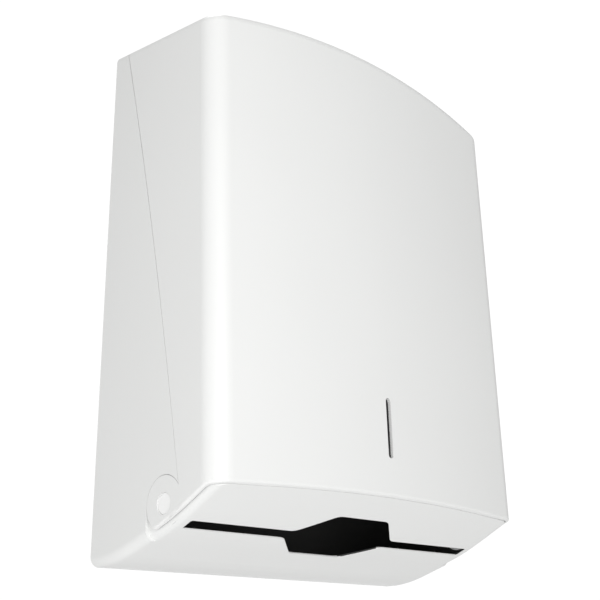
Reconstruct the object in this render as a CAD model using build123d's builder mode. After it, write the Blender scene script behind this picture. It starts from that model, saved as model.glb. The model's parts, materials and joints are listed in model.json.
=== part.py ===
from build123d import *
import math
import os

# Wall-mounted dispenser for folded paper hand towels, in moulded plastic.
# A rear housing goes on the wall. The front cover tips forward about two low side pins, a quarter-turn
# cam lock in its top holds it shut, and towels are pulled down through an outlet slot in the floor.
# Frame: X to the right, Y towards the wall, Z up. The origin is the centre of the wall screw pattern,
# on the wall face. Side profiles are drawn as (depth in front of the wall, height above the back edge).
# All lengths are in millimetres and all angles in degrees.

# ---- outer form ----
width = 275.0
back_height = 355.0  # side wall against the wall
crown_rise = 16.5  # how far the middle of the top stands above its ends
top_fall_angle = 6.3  # the top slopes down towards the front
front_depth_low = 130.0  # middle of the front, at the height of the lower back edge
front_lean_angle = 2.2  # the front leans back as it rises
front_bow = 8.5  # how far the middle of the front stands ahead of its ends
corner_radius = 14.0  # upright front corners
top_edge_radius = 6.0
inner_edge_chamfer = 2.0  # inside the rounded top edges
wall = 2.5

# ---- underside: level at the back, then a gentle slope and a steeper one, with soft bends ----
level_depth = 18.9
rear_slope_angle = 17.2
bend_depth = 77.0
front_slope_angle = 26.5
level_bend_radius = 105.0
slope_bend_radius = 220.0
lower_edge_radius = 6.0  # rounded lower side edges of the housing and its floor
cover_edge_radius = 1.6  # rounded lower edge of the cover
cheek_lift = 3.2  # how far the cheeks end above the underside
cheek_front_depth = 111.0  # from here the cover's lower edge runs down to the underside
front_edge_depth = 119.5  # and from here it follows the underside
cheek_bend_radius = 10.0

# ---- seam between housing and cover ----
seam_top_depth = 12.5
seam_foot_depth = 87.0
seam_foot_height = 40.0
seam_bulge = 3.5
seam_gap_top = 0.9
seam_gap_foot = 0.3
lip_reach = 6.0  # how far the housing's lip goes on behind the cover
lip_thickness = 2.0
lip_clearance = 0.5
joggle = 4.0  # width of the thick band that carries the lip
rim_height = 6.0  # upturned rim around the floor

# ---- hinge ----
pivot_depth = 73.5
pivot_lift = 14.6  # above the underside
pin_radius = 6.4
pin_clearance = 0.05
ear_radius = 16.5
pocket_clearance = 0.3
pin_recess = 0.5  # the pin's end face lies below the ear's face
pin_core_radius = 3.5
pin_chamfer = 0.5
pin_cap_thickness = 1.5
pin_flange_radius = 9.5
pin_flange_thickness = 2.0
pin_seat_clearance = 0.02
hinge_boss_radius = 12.0
hinge_boss_thickness = 3.0

# ---- outlet in the floor ----
outlet_depth = 79.5
outlet_side_inset = 12.5  # from the outlet's ends to the sides of the body
outlet_narrow_width = 9.2
outlet_wide_width = 47.0
outlet_wide_length = 45.0  # along the hexagon's short edges
outlet_flare_length = 99.0  # across the hexagon's points
outlet_corner_radius = 9.0
outlet_end_radius = 1.5
outlet_edge = 0.7  # the floor is this thin around the outlet
outlet_rebate = 3.2  # width of the thin border
outlet_rib_gap = 4.0  # from the thin border to the floor ribs

# ---- level slit in the front ----
slit_low = 67.0
slit_length = 39.5
slit_width = 4.4

# ---- wall fixing ----
screw_side_inset = 47.5  # from the screws to the sides of the body
lower_screw_height = 80.0
upper_screw_drop = 55.0  # from the top of the back to the upper screws
screw_hole_radius = 2.75
screw_pad_radius = 9.0
screw_pad_height = 2.5
back_recess = 0.8  # shallow recess in the wall face, inside its border and pads
back_border = 6.0

# ---- ribs ----
rib_thickness = 2.0
runner_height = 4.0  # upright ribs on the back wall
runner_spacing = 50.0
runner_low = 62.0
runner_drop = 37.0  # from the top of the back to the runners' upper ends
floor_rib_height = 3.0
floor_rib_inner = 70.0  # from the middle of the floor
floor_rib_side_inset = 27.5
front_rib_height = 2.0
front_rib_spacing = 55.0
front_rib_low = 125.0
front_rib_drop = 25.0  # from the top of the back to the front ribs' upper ends
rib_root = 0.2  # how far a rib runs into the wall that carries it

# ---- lock ----
lock_depth = 48.0
lock_seat_drop = 2.9  # how deep the flange's seat lies below the crowned top
lock_flange_radius = 11.0
lock_flange_thickness = 1.6
lock_flange_chamfer = 0.4
lock_seat_clearance = 0.6
lock_boss_wall = 2.5
lock_boss_thickness = 3.0
barrel_radius = 9.0
barrel_flat_width = 16.0
barrel_length = 14.0
barrel_clearance = 0.1
plug_radius = 6.0
plug_clearance = 0.05
plug_head_radius = 7.5
plug_head_height = 1.2
key_slot_length = 7.0
key_slot_width = 1.3
key_slot_depth = 9.0
drive_size = 7.0  # square end that carries the cam
drive_clearance = 0.05
drive_corner_radius = 4.6
toothed_washer_radius = 12.5
toothed_washer_thickness = 0.8
washer_tooth_count = 12
washer_notch_size = 2.0
nut_across_flats = 22.0
nut_thickness = 4.0
nut_chamfer = 0.5
stop_washer_radius = 5.6
stop_tab_radius = 7.6
stop_tab_width = 3.0
stop_lug_size = 2.4
stop_lug_angle = 24.0
stop_lug_height = 1.0
stop_washer_thickness = 1.0
end_gap = 0.2
cam_thickness = 2.5
cam_hub_radius = 8.0
cam_arm_width = 7.0
cam_arm_angle = -10.0
hook_inner_radius = 25.0
hook_outer_radius = 30.0
hook_span_angle = 40.0
cam_screw_radius = 2.0
cam_screw_head_radius = 4.5
cam_screw_head_height = 2.8
cam_screw_length = 6.0
screw_slot_width = 1.0
screw_slot_depth = 1.0

# ---- lock keeper ----
keeper_thickness = 1.5
keeper_width = 44.0
keeper_shelf_gap = 1.0
keeper_plate_height = 24.0
keeper_lip_width = 7.0
keeper_lip_offset = -5.5
keeper_lip_setback = 2.0  # of the lip's inner bend from the hook's path
keeper_lip_overlap = 3.0
keeper_corner_radius = 4.0
keeper_hole_clearance = 0.25
keeper_lip_height = 5.0
keeper_bend_radius = 2.0
keeper_screw_spacing = 28.0
keeper_screw_drop = 15.0
keeper_screw_radius = 1.75
keeper_screw_head_radius = 3.5
keeper_screw_head_height = 2.4
keeper_screw_length = 7.0
keeper_boss_radius = 5.0
keeper_boss_height = 8.0
keeper_screw_clearance = 0.05

# ---- towel adapters ----
adapter_thickness = 1.8
adapter_inset = 12.0  # from the side wall's inner face
adapter_low = 88.0
adapter_drop = 55.0  # from the top of the back to the adapters' upper ends
adapter_depth = 46.0
adapter_corner_radius = 16.0
adapter_foot_width = 8.5
adapter_stud_radius = 2.5
adapter_stud_clearance = 0.1
adapter_stud_inset = 31.0  # from an adapter's end to its stud
adapter_window_count = 3
adapter_window_width = 16.0
adapter_rung = 14.0  # between the windows and at both ends

# ---- worked out from the dimensions above ----
half_width = width / 2
screw_spacing_x = width - 2 * screw_side_inset
screw_spacing_z = back_height - upper_screw_drop - lower_screw_height
mount_height = lower_screw_height + screw_spacing_z / 2  # origin above the lower back edge
outlet_length = width - 2 * outlet_side_inset
crown_radius = (half_width**2 + crown_rise**2) / (2 * crown_rise)
bow_radius = (half_width**2 + front_bow**2) / (2 * front_bow)
corner_x = half_width - corner_radius
bow_turn = math.degrees(math.asin(corner_x / (bow_radius - corner_radius)))
corner_y = bow_radius - (bow_radius - corner_radius) * math.cos(math.radians(bow_turn))
rear_slope = math.tan(math.radians(rear_slope_angle))
bend_height = rear_slope * (bend_depth - level_depth)
front_slope = math.tan(math.radians(front_slope_angle))
lean_slope = math.tan(math.radians(front_lean_angle))
top_slope = math.tan(math.radians(top_fall_angle))
pocket_radius = ear_radius + pocket_clearance
pocket_rear = pivot_depth - pocket_radius
lip_inset = wall + lip_clearance
layer_inset = lip_inset + lip_thickness
lock_seat_radius = lock_flange_radius + lock_seat_clearance
lock_seat_height = back_height + crown_rise - top_slope * lock_depth - lock_seat_drop
barrel_end_height = lock_seat_height - barrel_length
cam_low = barrel_end_height - end_gap - stop_washer_thickness - cam_thickness
shelf_height = cam_low - keeper_shelf_gap
keeper_screw_height = shelf_height - keeper_screw_drop
keeper_plate_depth = wall + keeper_boss_height
adapter_x = half_width - wall - adapter_inset
adapter_stud_x = adapter_x + adapter_foot_width / 2
adapter_high = back_height - adapter_drop
adapter_middle = (adapter_low + adapter_high) / 2
adapter_stud_spacing = adapter_high - adapter_low - 2 * adapter_stud_inset
adapter_window_room = adapter_high - adapter_low - (adapter_window_count + 1) * adapter_rung
adapter_window_length = adapter_window_room / adapter_window_count
runner_high = back_height - runner_drop
margin = 30.0  # how far cutting shapes run past the body
form_top = back_height + crown_rise + margin
deep = front_depth_low + margin
tall = form_top + margin

side_view = Plane(origin=(0, 0, -mount_height), x_dir=(0, -1, 0), z_dir=(-1, 0, 0))


def level(height):
    """Z of a height above the lower back edge."""
    return height - mount_height


def front_depth(height):
    """Depth of the middle of the front at a height."""
    return front_depth_low - lean_slope * height


def underside(depth):
    """Height of the underside at a depth in front of the wall, without its soft bends."""
    if depth < bend_depth:
        return rear_slope * max(depth - level_depth, 0)
    return bend_height + front_slope * (depth - bend_depth)


pivot_height = underside(pivot_depth) + pivot_lift


def block(low, high, mode=Mode.ADD):
    """Box between two corners, given as (x, depth, height)."""
    size = [high[i] - low[i] for i in range(3)]
    middle = [(high[i] + low[i]) / 2 for i in range(3)]
    with Locations((middle[0], -middle[1], level(middle[2]))):
        Box(size[0], size[1], size[2], mode=mode)


def above_underside(rise):
    """Side profile of all that lies above the underside raised by rise."""
    with BuildSketch(Plane.XY) as region:
        with BuildLine():
            lower = FilletPolyline(
                (-margin, rise),
                (level_depth, rise),
                (bend_depth, bend_height + rise),
                (deep, underside(deep) + rise),
                radius=[level_bend_radius, slope_bend_radius],
            )
            Polyline(lower @ 1, (deep, tall), (-margin, tall), lower @ 0)
        make_face()
    return region.sketch


def floor_block(inset, rise, edge_radius):
    """Block above the raised underside, between the sides, with rounded lower side edges."""
    with BuildPart() as floored:
        with BuildSketch(side_view):
            add(above_underside(rise))
        extrude(amount=half_width - inset, both=True)
        lower_faces = faces().filter_by(lambda f: f.normal_at().Z < 0)
        fillet(lower_faces.edges().filter_by(Axis.X, reverse=True), edge_radius)
    return floored.part


def body_form(inset, floor, back, edge_radius=lower_edge_radius):
    """Closed form of the body, drawn inward by inset, starting at the depth back.

    floor raises the underside, and None leaves the form open downward."""
    lower = floor_block(inset, floor, edge_radius) if floor is not None else None
    with BuildPart() as form:
        # the plan outline, carried up along the front's lean from a point on the middle of the front
        front_foot = (0, -front_depth(-margin), level(-margin))
        with BuildSketch(Plane(front_foot, x_dir=(1, 0, 0), z_dir=(0, lean_slope, 1))):
            with BuildLine():
                rounding = corner_radius - inset
                left = CenterArc((-corner_x, corner_y), rounding, 180, 90 - bow_turn)
                CenterArc((0, bow_radius), bow_radius - inset, 270 - bow_turn, 2 * bow_turn)
                right = CenterArc((corner_x, corner_y), rounding, 270 + bow_turn, 90 - bow_turn)
                side = half_width - inset
                Polyline(right @ 1, (side, deep + margin), (-side, deep + margin), left @ 0)
            make_face()
        extrude(amount=form_top + 2 * margin)
        block((-width, back, -2 * margin), (width, 2 * front_depth_low, 2 * form_top), Mode.INTERSECT)
        # crowned top, carried forward and down from the middle of its ridge
        reach = half_width + margin
        drop = crown_radius - math.sqrt(crown_radius**2 - reach**2)
        ridge = (0, margin, level(back_height + crown_rise + margin * top_slope - inset))
        with BuildSketch(Plane(ridge, x_dir=(1, 0, 0), z_dir=(0, -1, -top_slope))):
            with BuildLine():
                ThreePointArc((-reach, -drop), (0, 0), (reach, -drop))
                Polyline((reach, -drop), (reach, -2 * tall), (-reach, -2 * tall), (-reach, -drop))
            make_face()
        extrude(amount=deep + 2 * margin, mode=Mode.INTERSECT)
        if lower is not None:
            add(lower, mode=Mode.INTERSECT)
        top_face = form.faces().sort_by(Axis.Z)[-1]
        rim = top_face.edges().sort_by(Axis.Y)[:-1]
        if inset:
            chamfer(rim, inner_edge_chamfer)
        else:
            fillet(rim, top_edge_radius)
    return form.part


def behind_seam(top_shift, foot_shift):
    """Side profile of all that lies behind the seam, with its ends moved forward."""
    with BuildSketch(Plane.XY) as region:
        with BuildLine():
            seam = SagittaArc(
                (seam_top_depth + top_shift, back_height),
                (seam_foot_depth + foot_shift, seam_foot_height),
                seam_bulge,
            )
            above = seam @ 0 - (seam % 0) * 3 * margin
            below = seam @ 1 + (seam % 1) * 3 * margin
            Polyline(seam @ 0, above, (-margin, above.Y), (-margin, below.Y), below, seam @ 1)
        make_face()
    return region.sketch


outer_form = body_form(0, 0, 0)
open_form = body_form(0, None, 0)
cavity = body_form(wall, wall, wall, lower_edge_radius - wall)
open_cavity = body_form(wall, None, wall)
lip_form = body_form(lip_inset, 0, -margin)
lip_cavity = body_form(layer_inset, wall, -margin, lower_edge_radius - lip_thickness)
floor_rib_room = body_form(layer_inset - rib_root, wall - rib_root, wall - rib_root)
front_rib_root = body_form(wall - rib_root, None, wall)
behind_front_ribs = body_form(wall + front_rib_height, None, wall)

# ---- side profiles ----
with BuildSketch(side_view) as rear_profile:
    # behind the seam, without the pockets in which the ears turn
    add(behind_seam(0, 0))
    with Locations((pivot_depth, pivot_height)):
        Circle(pocket_radius, mode=Mode.SUBTRACT)
    with Locations((pocket_rear, pivot_height)):
        Rectangle(deep, pivot_height + margin, align=(Align.MIN, Align.MAX), mode=Mode.SUBTRACT)

with BuildSketch(side_view) as joggle_profile:
    # band along the housing's free edge, which is thick enough to carry the lip
    add(behind_seam(0, 0))
    add(behind_seam(-joggle, -joggle), mode=Mode.SUBTRACT)
    with Locations((pivot_depth, pivot_height)):
        Circle(pocket_radius + joggle)
    with Locations((pocket_rear - joggle, pivot_height)):
        Rectangle(joggle, pivot_height + margin, align=(Align.MIN, Align.MAX))
    add(rear_profile.sketch_local, mode=Mode.INTERSECT)

with BuildSketch(side_view) as lip_profile:
    # the lip behind the cover's edge, the floor of the hinge pockets, and the floor with its rim
    add(behind_seam(lip_reach, lip_reach))
    add(behind_seam(-joggle, -joggle), mode=Mode.SUBTRACT)
    with Locations((pivot_depth, pivot_height)):
        Circle(pocket_radius + joggle)
    floor_start = pocket_rear - joggle
    with BuildLine():
        Polyline(
            (floor_start, -margin),
            (deep, -margin),
            (deep, underside(deep) + rim_height),
            (bend_depth, bend_height + rim_height),
            (floor_start, pivot_height),
            close=True,
        )
    make_face()

with BuildSketch(side_view) as cover_profile:
    # ahead of the seam, with the round ears that reach back over the hinge
    with Locations((-margin, -margin)):
        Rectangle(deep + margin, tall + margin, align=(Align.MIN, Align.MIN))
    add(behind_seam(seam_gap_top, seam_gap_foot), mode=Mode.SUBTRACT)
    with Locations((pivot_depth, pivot_height)):
        Circle(ear_radius)
        Rectangle(deep, pivot_height + margin, align=(Align.MIN, Align.MAX))

with BuildSketch(side_view) as above_cover_edge:
    # the cheeks end above the underside, and the front comes down to it
    with BuildLine():
        cover_edge = FilletPolyline(
            (-margin, cheek_lift),
            (level_depth, cheek_lift),
            (bend_depth, bend_height + cheek_lift),
            (cheek_front_depth, underside(cheek_front_depth) + cheek_lift),
            (front_edge_depth, underside(front_edge_depth)),
            (deep, underside(deep)),
            radius=[level_bend_radius, slope_bend_radius, cheek_bend_radius, cheek_bend_radius],
        )
        Polyline(cover_edge @ 1, (deep, tall), (-margin, tall), cover_edge @ 0)
    make_face()

with BuildSketch(Plane.XY) as outlet:
    # hexagon in the middle of a long narrow slot, seen from above
    flare = outlet_flare_length / 2
    short_edge = outlet_wide_length / 2
    with BuildLine():
        Polyline(
            (-flare, 0),
            (-short_edge, outlet_wide_width / 2),
            (short_edge, outlet_wide_width / 2),
            (flare, 0),
            (short_edge, -outlet_wide_width / 2),
            (-short_edge, -outlet_wide_width / 2),
            close=True,
        )
    make_face()
    Rectangle(outlet_length, outlet_narrow_width)
    fillet(vertices().filter_by(lambda v: abs(v.X) < flare), outlet_corner_radius)
    ends = vertices().filter_by(lambda v: abs(v.X) > outlet_length / 2 - 1)
    fillet(ends, outlet_end_radius)

outlet_plane = Plane((0, -outlet_depth, level(-margin)))

# ---- rear housing: back wall, side wings, floor with the outlet, hinge pockets ----
with BuildPart() as lip_layer:
    add(lip_form)
    add(lip_cavity, mode=Mode.SUBTRACT)
    extrude(lip_profile.sketch, amount=width, both=True, mode=Mode.INTERSECT)

with BuildPart() as joggle_band:
    add(outer_form)
    add(lip_cavity, mode=Mode.SUBTRACT)
    extrude(joggle_profile.sketch, amount=width, both=True, mode=Mode.INTERSECT)

with BuildPart() as outlet_border:
    # room above the thin border of the outlet
    with BuildSketch(outlet_plane):
        offset(outlet.sketch, amount=outlet_rebate)
    extrude(amount=4 * margin)
    with BuildSketch(side_view):
        add(above_underside(outlet_edge))
    extrude(amount=width, both=True, mode=Mode.INTERSECT)

with BuildPart() as floor_ribs:
    for reach in (floor_rib_inner, half_width - floor_rib_side_inset):
        for side in (-1, 1):
            rib_low = side * reach - rib_thickness / 2
            block((rib_low, 0, -margin), (rib_low + rib_thickness, deep, tall))
    add(floor_rib_room, mode=Mode.INTERSECT)
    with BuildSketch(side_view):
        add(above_underside(wall + floor_rib_height))
    extrude(amount=width, both=True, mode=Mode.SUBTRACT)
    with BuildSketch(outlet_plane):
        offset(outlet.sketch, amount=outlet_rebate + outlet_rib_gap)
    extrude(amount=4 * margin, mode=Mode.SUBTRACT)

with BuildPart() as rear_housing:
    add(outer_form)
    add(cavity, mode=Mode.SUBTRACT)
    extrude(rear_profile.sketch, amount=width, both=True, mode=Mode.INTERSECT)
    add(joggle_band.part)
    add(lip_layer.part)
    add(floor_ribs.part)
    add(outlet_border.part, mode=Mode.SUBTRACT)
    with BuildSketch(outlet_plane):
        add(outlet.sketch)
    extrude(amount=4 * margin, mode=Mode.SUBTRACT)
    # bosses that carry the hinge pins
    for side in (-1, 1):
        with BuildSketch(Plane.YZ.offset(side * (half_width - layer_inset))):
            with Locations((-pivot_depth, level(pivot_height))):
                Circle(hinge_boss_radius)
        extrude(amount=-side * hinge_boss_thickness)
        with BuildSketch(Plane.YZ.offset(side * half_width)):
            with Locations((-pivot_depth, level(pivot_height))):
                Circle(pin_radius + pin_seat_clearance)
        extrude(amount=-side * (layer_inset + hinge_boss_thickness), mode=Mode.SUBTRACT)
    # upright runners that keep the towels off the back wall
    with BuildSketch(Plane.XZ.offset(wall - rib_root)):
        with Locations((0, level((runner_low + runner_high) / 2))):
            with GridLocations(runner_spacing, 0, 4, 1):
                Rectangle(rib_thickness, runner_high - runner_low)
    extrude(amount=rib_root + runner_height)
    # pads inside around the wall screws
    with BuildSketch(Plane.XZ.offset(wall - rib_root)):
        with GridLocations(screw_spacing_x, screw_spacing_z, 2, 2):
            Circle(screw_pad_radius)
    extrude(amount=rib_root + screw_pad_height)
    # bosses for the lock keeper
    with BuildSketch(Plane.XZ.offset(wall - rib_root)):
        with Locations((0, level(keeper_screw_height))):
            with GridLocations(keeper_screw_spacing, 0, 2, 1):
                Circle(keeper_boss_radius)
    extrude(amount=rib_root + keeper_boss_height)
    with BuildSketch(Plane.XZ.offset(wall + keeper_boss_height)):
        with Locations((0, level(keeper_screw_height))):
            with GridLocations(keeper_screw_spacing, 0, 2, 1):
                Circle(keeper_screw_radius + keeper_screw_clearance)
    extrude(amount=-keeper_screw_length, mode=Mode.SUBTRACT)
    # shallow recess in the wall face, which leaves a border and a round pad at each screw
    with BuildSketch(Plane.XZ):
        with Locations((0, level(back_height / 2))):
            RectangleRounded(width - 2 * back_border, back_height - 2 * back_border, back_border)
        with GridLocations(screw_spacing_x, screw_spacing_z, 2, 2):
            Circle(screw_pad_radius, mode=Mode.SUBTRACT)
    extrude(amount=back_recess, mode=Mode.SUBTRACT)
    with BuildSketch(Plane.XZ):
        with GridLocations(screw_spacing_x, screw_spacing_z, 2, 2):
            Circle(screw_hole_radius)
        with Locations((0, level(adapter_middle))):
            with GridLocations(2 * adapter_stud_x, adapter_stud_spacing, 2, 2):
                Circle(adapter_stud_radius + adapter_stud_clearance)
    extrude(amount=wall + screw_pad_height, mode=Mode.SUBTRACT)

# ---- front cover: front, crowned top, cheeks with ears, lock seat, level slit ----
with BuildPart() as lock_boss:
    with BuildSketch(Plane.XY.offset(level(lock_seat_height - lock_boss_thickness))):
        with Locations((0, -lock_depth)):
            Circle(lock_seat_radius + lock_boss_wall)
    extrude(amount=margin)
    add(outer_form, mode=Mode.INTERSECT)

with BuildPart() as front_ribs:
    for i in range(4):
        rib_low = (i - 1.5) * front_rib_spacing - rib_thickness / 2
        rib_top = back_height - front_rib_drop
        block((rib_low, pivot_depth, front_rib_low), (rib_low + rib_thickness, deep, rib_top))
    add(front_rib_root, mode=Mode.INTERSECT)
    add(behind_front_ribs, mode=Mode.SUBTRACT)

with BuildPart() as front_cover:
    add(open_form)
    extrude(above_cover_edge.sketch, amount=width, both=True, mode=Mode.INTERSECT)
    lower_faces = faces().filter_by(lambda f: f.normal_at().Z < 0)
    fillet(lower_faces.edges().filter_by(Axis.X, reverse=True), cover_edge_radius)
    add(open_cavity, mode=Mode.SUBTRACT)
    extrude(cover_profile.sketch, amount=width, both=True, mode=Mode.INTERSECT)
    add(front_ribs.part)
    add(lock_boss.part)
    with BuildSketch(Plane.XY.offset(level(lock_seat_height))):
        with Locations((0, -lock_depth)):
            Circle(lock_seat_radius)
    extrude(amount=margin, mode=Mode.SUBTRACT)
    with BuildSketch(Plane.XY.offset(level(lock_seat_height))):
        with Locations((0, -lock_depth)):
            Circle(barrel_radius + barrel_clearance)
            Rectangle(
                barrel_flat_width + 2 * barrel_clearance,
                4 * barrel_radius,
                mode=Mode.INTERSECT,
            )
    extrude(amount=-margin, mode=Mode.SUBTRACT)
    with BuildSketch(Plane.XZ.offset(front_depth_low)):
        with Locations((0, level(slit_low + slit_length / 2))):
            SlotOverall(slit_length, slit_width, rotation=90)
    extrude(amount=-margin, mode=Mode.SUBTRACT)
    with BuildSketch(Plane.YZ):
        with Locations((-pivot_depth, level(pivot_height))):
            Circle(pin_radius + pin_clearance)
    extrude(amount=width, both=True, mode=Mode.SUBTRACT)

# ---- hinge pins: hollow plugs pushed in from inside, each with a flange ----
with BuildPart() as hinge_pin_right:
    pin_end = half_width - pin_recess
    flange_seat = half_width - layer_inset - hinge_boss_thickness
    flange_end = flange_seat - pin_flange_thickness
    with BuildSketch(Plane.XY.offset(level(pivot_height))):
        with BuildLine():
            Polyline(
                (pin_end, -pivot_depth),
                (pin_end, pin_radius - pin_chamfer - pivot_depth),
                (pin_end - pin_chamfer, pin_radius - pivot_depth),
                (flange_seat, pin_radius - pivot_depth),
                (flange_seat, pin_flange_radius - pivot_depth),
                (flange_end, pin_flange_radius - pivot_depth),
                (flange_end, pin_core_radius - pivot_depth),
                (pin_end - pin_cap_thickness, pin_core_radius - pivot_depth),
                (pin_end - pin_cap_thickness, -pivot_depth),
                close=True,
            )
        make_face()
    revolve(axis=Axis((0, -pivot_depth, level(pivot_height)), (1, 0, 0)))

with BuildPart() as hinge_pin_left:
    mirror(hinge_pin_right.part, about=Plane.YZ)

# ---- quarter-turn cam lock, seated in the top of the cover ----
def lock_plane(height):
    """Level plane centred on the lock's axis at a height above the lower back edge."""
    return Plane.XY.offset(level(height)).move(Location((0, -lock_depth, 0)))


with BuildPart() as lock_barrel:
    with BuildSketch(lock_plane(lock_seat_height)):
        Circle(lock_flange_radius)
    extrude(amount=lock_flange_thickness)
    chamfer(edges().group_by(Axis.Z)[-1], lock_flange_chamfer)
    with BuildSketch(lock_plane(lock_seat_height)):
        Circle(barrel_radius)
        Rectangle(barrel_flat_width, 4 * barrel_radius, mode=Mode.INTERSECT)
    extrude(amount=-barrel_length)
    # two lugs under the barrel stop the tab of the stop washer
    with BuildSketch(lock_plane(barrel_end_height)):
        for angle in (cam_arm_angle - stop_lug_angle, cam_arm_angle + 90 + stop_lug_angle):
            with Locations(Rotation(0, 0, angle)):
                with Locations((stop_tab_radius, 0)):
                    Rectangle(stop_lug_size, stop_lug_size)
        Circle(barrel_flat_width / 2, mode=Mode.INTERSECT)
    extrude(amount=-stop_lug_height)
    with BuildSketch(lock_plane(lock_seat_height + lock_flange_thickness)):
        Circle(plug_head_radius + plug_clearance)
    extrude(amount=-plug_head_height, mode=Mode.SUBTRACT)
    with BuildSketch(lock_plane(lock_seat_height + lock_flange_thickness)):
        Circle(plug_radius + plug_clearance)
    extrude(amount=-2 * barrel_length, mode=Mode.SUBTRACT)

with BuildPart() as lock_plug:
    face_height = lock_seat_height + lock_flange_thickness
    with BuildSketch(lock_plane(face_height)):
        Circle(plug_head_radius)
    extrude(amount=-plug_head_height)
    with BuildSketch(lock_plane(face_height)):
        Circle(plug_radius)
    extrude(amount=barrel_end_height - end_gap - face_height)
    with BuildSketch(lock_plane(barrel_end_height - end_gap)):
        Rectangle(drive_size, drive_size, rotation=cam_arm_angle)
        Circle(drive_corner_radius, mode=Mode.INTERSECT)
    extrude(amount=-(stop_washer_thickness + cam_thickness))
    with BuildSketch(lock_plane(face_height)):
        Rectangle(key_slot_width, key_slot_length)
    extrude(amount=-key_slot_depth, mode=Mode.SUBTRACT)
    with BuildSketch(lock_plane(cam_low)):
        Circle(cam_screw_radius + drive_clearance)
    extrude(amount=cam_screw_length + end_gap, mode=Mode.SUBTRACT)

with BuildPart() as lock_stop_washer:
    with BuildSketch(lock_plane(cam_low + cam_thickness)):
        Circle(stop_washer_radius)
        with Locations(Rotation(0, 0, cam_arm_angle)):
            with Locations((stop_tab_radius / 2, 0)):
                Rectangle(stop_tab_radius, stop_tab_width)
        Rectangle(
            drive_size + 2 * drive_clearance,
            drive_size + 2 * drive_clearance,
            rotation=cam_arm_angle,
            mode=Mode.SUBTRACT,
        )
    extrude(amount=stop_washer_thickness)

with BuildPart() as lock_cam:
    # hub and arm, with a hook that swings round behind the keeper's lip
    hook_start = cam_arm_angle - math.degrees(math.asin(cam_arm_width / 2 / hook_inner_radius))
    with BuildSketch(lock_plane(cam_low)):
        Circle(cam_hub_radius)
        with Locations(Rotation(0, 0, cam_arm_angle)):
            with Locations((hook_inner_radius / 2, 0)):
                Rectangle(hook_inner_radius, cam_arm_width)
        with BuildLine():
            outer = CenterArc((0, 0), hook_outer_radius, hook_start, hook_span_angle)
            inner = CenterArc((0, 0), hook_inner_radius, hook_start, hook_span_angle)
            Line(outer @ 0, inner @ 0)
            Line(outer @ 1, inner @ 1)
        make_face()
        Rectangle(
            drive_size + 2 * drive_clearance,
            drive_size + 2 * drive_clearance,
            rotation=cam_arm_angle,
            mode=Mode.SUBTRACT,
        )
    extrude(amount=cam_thickness)

with BuildPart() as lock_cam_screw:
    with BuildSketch(lock_plane(cam_low)):
        Circle(cam_screw_head_radius)
    extrude(amount=-cam_screw_head_height)
    chamfer(edges().group_by(Axis.Z)[0], cam_screw_head_height / 4)
    with BuildSketch(lock_plane(cam_low)):
        Circle(cam_screw_radius)
    extrude(amount=cam_screw_length)
    with BuildSketch(lock_plane(cam_low - cam_screw_head_height)):
        Rectangle(2 * cam_screw_head_radius, screw_slot_width)
    extrude(amount=screw_slot_depth, mode=Mode.SUBTRACT)

boss_end_height = lock_seat_height - lock_boss_thickness
with BuildPart() as lock_toothed_washer:
    with BuildSketch(lock_plane(boss_end_height)):
        Circle(toothed_washer_radius)
        Circle(barrel_radius + barrel_clearance, mode=Mode.SUBTRACT)
        with PolarLocations(toothed_washer_radius, washer_tooth_count):
            Rectangle(washer_notch_size, washer_notch_size, mode=Mode.SUBTRACT)
    extrude(amount=-toothed_washer_thickness)

with BuildPart() as lock_nut:
    with BuildSketch(lock_plane(boss_end_height - toothed_washer_thickness)):
        RegularPolygon(nut_across_flats / 2, 6, major_radius=False)
        Circle(barrel_radius + pin_clearance, mode=Mode.SUBTRACT)
    extrude(amount=-nut_thickness)
    chamfer(edges().filter_by(GeomType.LINE).group_by(Axis.Z)[0], nut_chamfer)

# ---- lock keeper: bent steel bracket with an upturned lip, and its screws ----
with BuildPart() as lock_keeper:
    lip_depth = lock_depth - hook_inner_radius + keeper_lip_setback
    shelf_low = shelf_height - keeper_thickness
    with BuildSketch(side_view):
        with BuildLine():
            bend = FilletPolyline(
                (keeper_plate_depth, shelf_height - keeper_plate_height),
                (keeper_plate_depth, shelf_height),
                (lip_depth, shelf_height),
                radius=keeper_bend_radius,
            )
            offset(bend, amount=keeper_thickness, side=Side.RIGHT)
        make_face()
    extrude(amount=keeper_width / 2, both=True)
    low_corners = faces().sort_by(Axis.Z)[0].edges().filter_by(Axis.Y)
    fillet(low_corners, keeper_corner_radius)
    with BuildSketch(side_view.offset(-keeper_lip_offset - keeper_lip_width / 2)):
        with BuildLine():
            lip_bend = FilletPolyline(
                (lip_depth - keeper_lip_overlap, shelf_low),
                (lip_depth + keeper_thickness, shelf_low),
                (lip_depth + keeper_thickness, shelf_height + keeper_lip_height),
                radius=keeper_bend_radius,
            )
            offset(lip_bend, amount=keeper_thickness, side=Side.LEFT)
        make_face()
    extrude(amount=keeper_lip_width)
    with BuildSketch(Plane.XZ.offset(keeper_plate_depth)):
        with Locations((0, level(keeper_screw_height))):
            with GridLocations(keeper_screw_spacing, 0, 2, 1):
                Circle(keeper_screw_radius + keeper_hole_clearance)
    extrude(amount=keeper_thickness, mode=Mode.SUBTRACT)

with BuildPart() as keeper_screws:
    screw_seat = keeper_plate_depth + keeper_thickness
    with Locations((0, 0, level(keeper_screw_height))):
        with GridLocations(keeper_screw_spacing, 0, 2, 1):
            with Locations(Plane.XZ.offset(screw_seat)):
                Cylinder(
                    keeper_screw_head_radius,
                    keeper_screw_head_height,
                    align=(Align.CENTER, Align.CENTER, Align.MIN),
                )
                Cylinder(
                    keeper_screw_radius,
                    keeper_screw_length,
                    align=(Align.CENTER, Align.CENTER, Align.MAX),
                )

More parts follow.
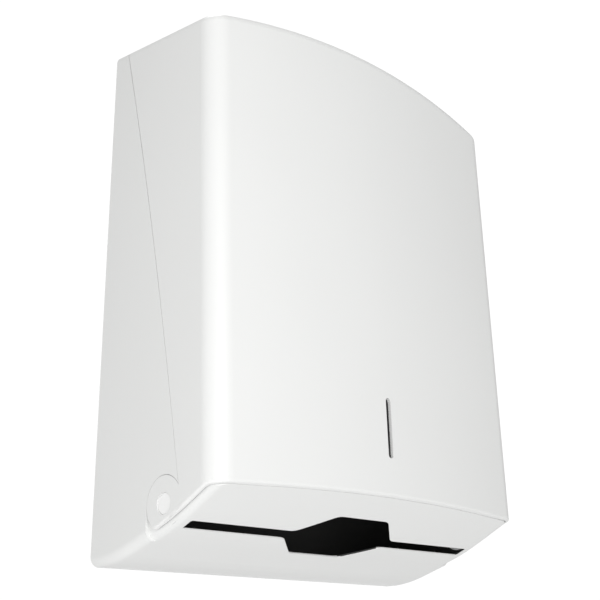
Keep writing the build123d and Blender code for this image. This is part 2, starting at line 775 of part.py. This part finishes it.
# ---- towel adapters: snap-in plates that narrow the chamber ----
with BuildPart() as towel_adapter_right:
    with BuildSketch(Plane.XY.offset(level(adapter_low))):
        with BuildLine():
            Polyline(
                (adapter_x - adapter_thickness, -wall),
                (adapter_x + adapter_foot_width, -wall),
                (adapter_x + adapter_foot_width, -wall - adapter_thickness),
                (adapter_x, -wall - adapter_thickness),
                (adapter_x, -adapter_depth),
                (adapter_x - adapter_thickness, -adapter_depth),
                close=True,
            )
        make_face()
    extrude(amount=adapter_high - adapter_low)
    front_corners = edges().filter_by(Axis.X).group_by(Axis.Y)[0]
    fillet(front_corners, adapter_corner_radius)
    with BuildSketch(Plane.YZ.offset(adapter_x)):
        with Locations(((-wall - adapter_depth) / 2, level(adapter_middle))):
            with GridLocations(0, adapter_window_length + adapter_rung, 1, adapter_window_count):
                SlotOverall(adapter_window_length, adapter_window_width, rotation=90)
    extrude(amount=-adapter_thickness, mode=Mode.SUBTRACT)
    with BuildSketch(Plane.XZ.offset(back_recess)):
        with Locations((adapter_stud_x, level(adapter_middle))):
            with GridLocations(0, adapter_stud_spacing, 1, 2):
                Circle(adapter_stud_radius)
    extrude(amount=wall - back_recess)

with BuildPart() as towel_adapter_left:
    mirror(towel_adapter_right.part, about=Plane.YZ)

# ---- labels and files ----
pieces = {
    "rear_housing": rear_housing,
    "front_cover": front_cover,
    "hinge_pin_right": hinge_pin_right,
    "hinge_pin_left": hinge_pin_left,
    "lock_barrel": lock_barrel,
    "lock_plug": lock_plug,
    "lock_stop_washer": lock_stop_washer,
    "lock_cam": lock_cam,
    "lock_cam_screw": lock_cam_screw,
    "lock_toothed_washer": lock_toothed_washer,
    "lock_nut": lock_nut,
    "lock_keeper": lock_keeper,
    "keeper_screws": keeper_screws,
    "towel_adapter_right": towel_adapter_right,
    "towel_adapter_left": towel_adapter_left,
}
os.makedirs("parts", exist_ok=True)
for name, piece in pieces.items():
    piece.part.label = name
    export_step(piece.part, f"parts/{name}.step")
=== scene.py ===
import json
import math

import bpy
from mathutils import Matrix, Vector

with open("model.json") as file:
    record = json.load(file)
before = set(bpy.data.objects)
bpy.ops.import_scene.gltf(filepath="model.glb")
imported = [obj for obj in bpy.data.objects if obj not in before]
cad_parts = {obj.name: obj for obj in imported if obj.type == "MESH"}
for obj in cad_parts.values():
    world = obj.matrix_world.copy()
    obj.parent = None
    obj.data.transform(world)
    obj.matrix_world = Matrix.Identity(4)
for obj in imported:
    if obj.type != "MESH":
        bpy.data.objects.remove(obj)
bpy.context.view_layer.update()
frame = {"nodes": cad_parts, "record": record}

# Wall-mounted dispenser for folded paper towels in white moulded plastic, seen from low on its left.
# Metres throughout, with X to the right, Y towards the wall and Z up.


# ---- view ----
PICTURE_SIDE = 600  # pixels
FOCAL_PIXELS = 1119.94
SENSOR_WIDTH = 36.0  # millimetres
CAMERA_PLACE = Vector((-0.5272, -0.6027, -0.2483))
CAMERA_TURN = math.radians(43.30)  # to the right of looking straight at the wall
CAMERA_TILT = math.radians(18.11)  # upward
CAMERA_ROLL = math.radians(-0.18)
CLIP_RANGE = (0.01, 50.0)


def place_camera():
    """Looks up at the dispenser from below on its left."""
    lens = bpy.data.cameras.new("camera")
    lens.sensor_fit = "HORIZONTAL"
    lens.sensor_width = SENSOR_WIDTH
    lens.lens = FOCAL_PIXELS / PICTURE_SIDE * SENSOR_WIDTH
    lens.clip_start, lens.clip_end = CLIP_RANGE
    forward = Vector(
        (
            math.sin(CAMERA_TURN) * math.cos(CAMERA_TILT),
            math.cos(CAMERA_TURN) * math.cos(CAMERA_TILT),
            math.sin(CAMERA_TILT),
        )
    )
    level_right = Vector((math.cos(CAMERA_TURN), -math.sin(CAMERA_TURN), 0.0))
    level_up = level_right.cross(forward)
    right = math.cos(CAMERA_ROLL) * level_right + math.sin(CAMERA_ROLL) * level_up
    up = right.cross(forward)
    camera = bpy.data.objects.new("camera", lens)
    turn = Matrix((right, up, -forward)).transposed().to_4x4()
    camera.matrix_world = Matrix.Translation(CAMERA_PLACE) @ turn
    bpy.context.scene.collection.objects.link(camera)
    bpy.context.scene.camera = camera


# ---- shader maths ----
NOISE_ROUGHNESS = 0.5


class Signal:
    """A socket's value, on which arithmetic adds Math nodes."""

    def __init__(self, finish, socket):
        self.finish = finish
        self.socket = socket

    def math(self, operation, *values):
        return self.finish.node("ShaderNodeMath", {"operation": operation}, *values)

    def __add__(self, other):
        return self.math("ADD", self, other)

    def __radd__(self, other):
        return self.math("ADD", other, self)

    def __sub__(self, other):
        return self.math("SUBTRACT", self, other)

    def __rsub__(self, other):
        return self.math("SUBTRACT", other, self)

    def __mul__(self, other):
        return self.math("MULTIPLY", self, other)

    def __truediv__(self, other):
        return self.math("DIVIDE", self, other)

    def __pow__(self, other):
        return self.math("POWER", self, other)

    def absolute(self):
        return self.math("ABSOLUTE", self)

    def lesser(self, other):
        return self.math("MINIMUM", self, other)

    def greater(self, other, softness=0.0):
        """The larger of both, with a bend of the given softness where they are equal."""
        return self.math("SMOOTH_MAX", self, other, softness)

    def between(self, low, high):
        """0 at low, 1 at high and a smooth change between, whichever of the two is larger."""
        settings = {"interpolation_type": "SMOOTHSTEP"}
        return self.finish.node("ShaderNodeMapRange", settings, self, low, high)


class Finish:
    """A material under construction, around one Principled shader."""

    def __init__(self, name, **constants):
        self.material = bpy.data.materials.new(name)
        self.material.use_nodes = True
        self.tree = self.material.node_tree
        self.shader = self.tree.nodes["Principled BSDF"]
        for socket, value in constants.items():
            self.shader.inputs[socket.replace("_", " ")].default_value = value
        self.place = self.node("ShaderNodeTexCoord", {"output": "Object"})

    def node(self, kind, settings=None, *values, **named):
        """Adds a node with its settings, and gives values or links to its sockets in order or by name."""
        made = self.tree.nodes.new(kind)
        output = 0
        for key, value in (settings or {}).items():
            if key == "output":
                output = value
            else:
                setattr(made, key, value)
        sockets = list(enumerate(values))
        sockets += [(name.replace("_", " "), value) for name, value in named.items()]
        for key, value in sockets:
            if isinstance(value, Signal):
                self.tree.links.new(value.socket, made.inputs[key])
            elif value is not None:
                made.inputs[key].default_value = value
        return Signal(self, made.outputs[output])

    def noise(self, size, detail=2.0, stretch=None):
        """Soft random pattern from 0 to 1 with patches of about the given size in metres."""
        place = self.place
        if stretch:
            place = self.node("ShaderNodeMapping", None, place, Scale=stretch)
        return self.node(
            "ShaderNodeTexNoise",
            Vector=place,
            Scale=1.0 / size,
            Detail=detail,
            Roughness=NOISE_ROUGHNESS,
        )

    def axes(self, vector=None):
        """The three parts of a vector, or of the place on the object, as numbers."""
        split = self.node("ShaderNodeSeparateXYZ", None, vector or self.place)
        return [Signal(self, socket) for socket in split.socket.node.outputs]

    def mix(self, amount, first, second):
        """First colour where amount is 0, second where it is 1."""
        made = self.node("ShaderNodeMix", {"data_type": "RGBA", "output": 2}, amount)
        mixer = made.socket.node
        for key, colour in ((6, first), (7, second)):
            if isinstance(colour, Signal):
                self.tree.links.new(colour.socket, mixer.inputs[key])
            else:
                mixer.inputs[key].default_value = (*colour, 1.0)
        return made

    def bump(self, height, depth):
        """Relief of the given depth in metres for a height pattern from 0 to 1."""
        return self.node("ShaderNodeBump", None, Strength=1.0, Distance=depth, Height=height)

    def feed(self, **links):
        """Links varying inputs of the shader."""
        for socket, value in links.items():
            self.tree.links.new(value.socket, self.shader.inputs[socket.replace("_", " ")])
        return self.material


# ---- body sizes that the finishes need, in metres from the middle of the wall screws ----
HALF_WIDTH = 0.1375
WALL = 0.0025
FOOT_HEIGHT = -0.19  # lower back edge
TOP_HEIGHT = 0.1815  # middle of the top, at the wall
TOP_FALL = math.tan(math.radians(6.3))  # of the top, towards the front
CROWN_RADIUS = 0.581  # of the top, across the width
FRONT_DEPTH = 0.130  # middle of the front, at the height of the lower back edge
FRONT_LEAN = math.tan(math.radians(2.2))  # of the front, back towards the top
BOW_RADIUS = 1.116  # of the front, across the width
CORNER_RADIUS = 0.014  # upright front corners
CORNER_FALL = 42.0  # per metre, by which such a corner falls back with the square of the way round it
LEVEL_DEPTH = 0.0189  # up to here the underside is level
BEND_DEPTH = 0.077  # from here it rises more steeply
REAR_SLOPE = math.tan(math.radians(17.2))
FRONT_SLOPE = math.tan(math.radians(26.5))
REAR_BEND, FRONT_BEND = 0.0071, 0.0044  # softness of the two bends of the underside
HEART = (0.0, -0.045, 0.0)  # a point well inside the chamber
LIP_AT_SIDE, LIP_AT_TOP = 0.0043, 0.0031  # how far in the housing's lip reaches
FLOOR_EDGE = 0.0003  # what lies this close to the underside is seen from outside
HAIR = 0.0001  # step of the masks' edges
INWARD_REACH = 0.002  # a face with the heart this far ahead of its plane counts as turned inward
LOCK_DEPTH = 0.048  # of the lock's axis
LOCK_SEAT = 0.1733  # height of the seat under the lock's flange
BARREL_RADIUS = 0.009


# ---- finishes ----
# Mask for painted shade: the faces that look into the chamber get a dark colour that stands in for the
# shade inside it.
def chamber_shade_mask(finish):
    """1 on the faces that look into the towel chamber, 0 on all that is seen from outside.

    A face looks inward if its normal points towards the heart of the chamber, and then it counts from
    just short of the wall's inner side. What lies deeper, such as a rib, is inside whichever way it
    looks, but the housing's lip behind the cover's edge is not."""
    x, y, z = finish.axes()
    normal = finish.axes(finish.node("ShaderNodeTexCoord", {"output": "Normal"}))
    inward = sum((n * (heart - place) for n, heart, place in zip(normal, HEART, (x, y, z))), 0.0)
    across = x * x
    from_side = HALF_WIDTH - x.absolute()
    from_wall = 0.0 - y
    from_front = y + FRONT_DEPTH - across / (2 * BOW_RADIUS) - (z - FOOT_HEIGHT) * FRONT_LEAN
    from_top = TOP_HEIGHT - across / (2 * CROWN_RADIUS) + y * TOP_FALL - z
    rear_slope = (from_wall - LEVEL_DEPTH) * REAR_SLOPE
    bend_height = (BEND_DEPTH - LEVEL_DEPTH) * REAR_SLOPE
    front_slope = (from_wall - BEND_DEPTH) * FRONT_SLOPE + bend_height
    underside = rear_slope.greater(0.0, REAR_BEND).greater(front_slope, FRONT_BEND)
    from_floor = z - FOOT_HEIGHT - underside
    round_corner = (CORNER_RADIUS - from_side).greater(0.0)
    behind_corner = from_front - round_corner * round_corner * CORNER_FALL
    ribs = from_wall.lesser(behind_corner).lesser(from_floor).between(WALL, WALL + HAIR)
    below_lip = from_top.between(LIP_AT_TOP, LIP_AT_TOP + HAIR)
    deep = ribs * from_side.between(LIP_AT_SIDE, LIP_AT_SIDE + 2 * HAIR) * below_lip
    walls = from_side.lesser(from_wall).lesser(from_front).lesser(from_top)
    above_floor = from_floor.between(FLOOR_EDGE, FLOOR_EDGE + 2 * HAIR)
    skins = walls.between(WALL - 3 * HAIR, WALL - HAIR) * above_floor
    return deep.greater(skins * inward.between(0.0, INWARD_REACH))


# sizes of the patterns in the plastic, in metres
CLOUD_SIZE = 0.11
FILM_SIZE = 0.035
RIPPLE_SIZE = 0.014
SKIN_SIZE = 0.0016
RIPPLE_SHARE = 0.7  # of the relief, with the skin as the rest
GLOSS_SPREAD = 0.08
INSIDE_PAINTED_SHADE = (0.045, 0.045, 0.044)  # painted shade: dark colour on the inside of both shells, standing in for the shade in the closed chamber
INSIDE_DULLNESS = 0.2


def moulded_plastic(name, colour, shade, roughness, relief, inside=None):
    """White moulded plastic: faint flow clouds, an uneven gloss and the fine skin of a polished tool."""
    finish = Finish(name, IOR=1.5)
    clouds = finish.noise(CLOUD_SIZE, detail=1.0)
    film = finish.noise(FILM_SIZE, detail=3.0, stretch=(1.0, 1.0, 0.35))
    skin = finish.noise(SKIN_SIZE)
    ripple = finish.noise(RIPPLE_SIZE, detail=1.0)
    colours = finish.mix(clouds, colour, shade)
    gloss = film * GLOSS_SPREAD + (roughness - GLOSS_SPREAD / 2)
    # Painted shade: the chamber's inner faces are darkened to stand for the shade inside, and their gloss
    # is made duller.
    if inside:
        painted_shade_mask = chamber_shade_mask(finish)
        colours = finish.mix(painted_shade_mask, colours, inside)
        gloss = gloss + painted_shade_mask * INSIDE_DULLNESS
    return finish.feed(
        Base_Color=colours,
        Roughness=gloss,
        Normal=finish.bump(ripple * RIPPLE_SHARE + skin * (1 - RIPPLE_SHARE), relief),
    )


# name, main colour, colour of the flow clouds, roughness, depth of the relief, painted shade inside
PLASTICS = (
    ("cover_plastic", (0.86, 0.865, 0.855), (0.835, 0.84, 0.83), 0.36, 0.00003, INSIDE_PAINTED_SHADE),
    ("housing_plastic", (0.85, 0.855, 0.845), (0.825, 0.83, 0.82), 0.38, 0.00003, INSIDE_PAINTED_SHADE),
    ("adapter_plastic", (0.83, 0.835, 0.825), (0.8, 0.805, 0.795), 0.45, 0.00004),
    ("pin_plastic", (0.99, 0.99, 0.985), (0.96, 0.96, 0.955), 0.3, 0.00002),
)


SPANGLE_SIZE = 0.004
LINE_SIZE = 0.0012
LINE_DEPTH = 0.00001
STEEL_ROUGHNESS, STEEL_SPREAD = 0.25, 0.2


def zinc_steel():
    """Zinc-plated pressed steel with a faint spangle and drawing lines."""
    finish = Finish("zinc_steel", Metallic=1.0)
    spangle = finish.noise(SPANGLE_SIZE)
    lines = finish.noise(LINE_SIZE, stretch=(0.08, 1.0, 1.0))
    return finish.feed(
        Base_Color=finish.mix(spangle, (0.70, 0.71, 0.73), (0.58, 0.58, 0.59)),
        Roughness=lines * STEEL_SPREAD + STEEL_ROUGHNESS,
        Normal=finish.bump(lines, LINE_DEPTH),
    )


HAZE_SIZE = 0.006
PLATING_ROUGHNESS, PLATING_SPREAD = 0.12, 0.12
THREAD_PITCH = 0.001
THREAD_DEPTH = 0.0004


def plated_zinc():
    """Nickel-plated die casting with a slightly cloudy gloss, and a fine thread round the lock's barrel.

    The thread rises by one pitch per turn: a triangle wave of height over pitch plus the share of a turn,
    which is kept to the places that lie at the barrel's radius below its flange."""
    finish = Finish("plated_zinc", Metallic=1.0)
    haze = finish.noise(HAZE_SIZE, detail=3.0)
    x, y, z = finish.axes()
    forward = y + LOCK_DEPTH
    turn = forward.math("ARCTAN2", forward, x) / math.tau
    rise = z / THREAD_PITCH + turn
    thread = rise.math("PINGPONG", rise, 0.5) * 2.0
    below_flange = z.between(LOCK_SEAT - 4 * HAIR, LOCK_SEAT - 14 * HAIR)
    radius = (x * x + forward * forward) ** 0.5
    outer = radius.between(BARREL_RADIUS - 4 * HAIR, BARREL_RADIUS - 2 * HAIR)
    round_face = outer * radius.between(BARREL_RADIUS + HAIR, BARREL_RADIUS + 0.4 * HAIR)
    return finish.feed(
        Base_Color=finish.mix(haze, (0.82, 0.81, 0.79), (0.74, 0.73, 0.72)),
        Roughness=haze * PLATING_SPREAD + PLATING_ROUGHNESS,
        Normal=finish.bump(thread * below_flange * round_face, THREAD_DEPTH),
    )


def dress_nodes():
    """Gives each node the finish of its material slot."""
    finishes = {plastic[0]: moulded_plastic(*plastic) for plastic in PLASTICS}
    finishes.update(zinc_steel=zinc_steel(), plated_zinc=plated_zinc())
    for subpart in frame["record"]["subparts"]:
        mesh = frame["nodes"][subpart["node"]].data
        mesh.materials.clear()
        mesh.materials.append(finishes[subpart["material_slot"]])


# ---- light and surroundings ----
AMBIENT = 0.475
BACKDROP = 1.05
# name, place, target, side in metres, watts
SOFTBOXES = (
    ("near", (-0.45, -0.75, 0.15), (-0.1, -0.12, 0.05), 0.6, 0.9),
    ("low", (-0.6, -0.9, -0.25), (-0.08, -0.12, 0.0), 0.9, 5.2),
    ("left", (-1.0, -0.25, -0.35), (-0.13, -0.06, 0.0), 0.7, 0.95),
    ("top", (0.0, 0.35, 1.6), (0.0, -0.02, 0.15), 0.6, 7.0),
    ("back", (0.9, 0.9, 0.1), (0.1, -0.02, 0.0), 0.9, 4.5),
)


def surround():
    """White surroundings, which the camera sees brighter than they light."""
    scene = bpy.context.scene
    scene.view_settings.view_transform = "Standard"
    world = bpy.data.worlds.new("surroundings")
    scene.world = world
    world.use_nodes = True
    tree = world.node_tree
    tree.nodes.clear()
    output = tree.nodes.new("ShaderNodeOutputWorld")
    rays = tree.nodes.new("ShaderNodeLightPath")
    mix = tree.nodes.new("ShaderNodeMixShader")
    tree.links.new(rays.outputs["Is Camera Ray"], mix.inputs["Fac"])
    for socket, strength in enumerate((AMBIENT, BACKDROP), start=1):
        white = tree.nodes.new("ShaderNodeBackground")
        white.inputs["Color"].default_value = (1, 1, 1, 1)
        white.inputs["Strength"].default_value = strength
        tree.links.new(white.outputs[0], mix.inputs[socket])
    tree.links.new(mix.outputs[0], output.inputs["Surface"])


def softbox(name, place, target, side, watts):
    """Square soft light of the given side, turned to its target."""
    lamp = bpy.data.lights.new(name, "AREA")
    lamp.shape = "SQUARE"
    lamp.size = side
    lamp.energy = watts
    light = bpy.data.objects.new(name, lamp)
    aim = (Vector(target) - Vector(place)).to_track_quat("-Z", "Y")
    light.matrix_world = Matrix.Translation(place) @ aim.to_matrix().to_4x4()
    bpy.context.scene.collection.objects.link(light)


FLOOR_HEIGHT = -1.2
FLOOR_HALF = 6.0
FLOOR_GREY = 0.85
FLOOR_ROUGHNESS = 0.8
FLOOR_GLOW = 0.2


def lay_floor():
    """Plain pale floor, as far down as under a washroom wall."""
    corners = [(-1, -1), (1, -1), (1, 1), (-1, 1)]
    places = [(x * FLOOR_HALF, y * FLOOR_HALF, FLOOR_HEIGHT) for x, y in corners]
    mesh = bpy.data.meshes.new("floor")
    mesh.from_pydata(places, [], [(0, 1, 2, 3)])
    floor = bpy.data.objects.new("floor", mesh)
    bpy.context.scene.collection.objects.link(floor)
    paint = bpy.data.materials.new("floor_paint")
    paint.use_nodes = True
    shader = paint.node_tree.nodes["Principled BSDF"]
    shader.inputs["Base Color"].default_value = (FLOOR_GREY, FLOOR_GREY, FLOOR_GREY, 1)
    shader.inputs["Roughness"].default_value = FLOOR_ROUGHNESS
    shader.inputs["Emission Color"].default_value = (1, 1, 1, 1)
    shader.inputs["Emission Strength"].default_value = FLOOR_GLOW
    mesh.materials.append(paint)


place_camera()
dress_nodes()
surround()
for row in SOFTBOXES:
    softbox(*row)
lay_floor()
